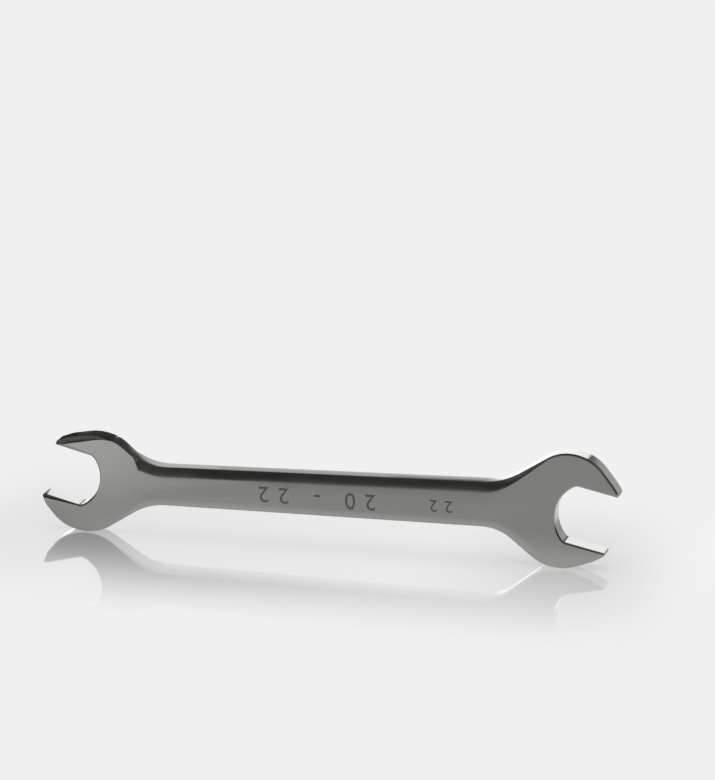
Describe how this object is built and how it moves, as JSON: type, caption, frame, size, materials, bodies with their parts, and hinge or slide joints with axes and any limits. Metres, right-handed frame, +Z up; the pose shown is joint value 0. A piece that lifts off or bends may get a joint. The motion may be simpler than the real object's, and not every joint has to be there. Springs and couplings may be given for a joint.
{
  "type": "double open-end wrench",
  "caption": "One-piece forged, chrome-plated wrench with an open jaw at each end for 20 and 22 mm nuts, the jaws angled to a slim shank with bevelled shoulders",
  "frame": {"origin": "middle of the bounding box at its bottom, on the surface that the two heads stand on", "axes": "+X along the wrench from the 20 mm end to the 22 mm end, +Y through its thickness, +Z up, with the wrench standing on the rims of its heads"},
  "size_m": [0.2214, 0.0078, 0.0441],
  "materials": {
    "chrome_plate": "satin chrome plate on forged steel, polished rims"
  },
  "bodies": {
    "root": {"wrench_body": "chrome_plate"}
  },
  "joints": []
}
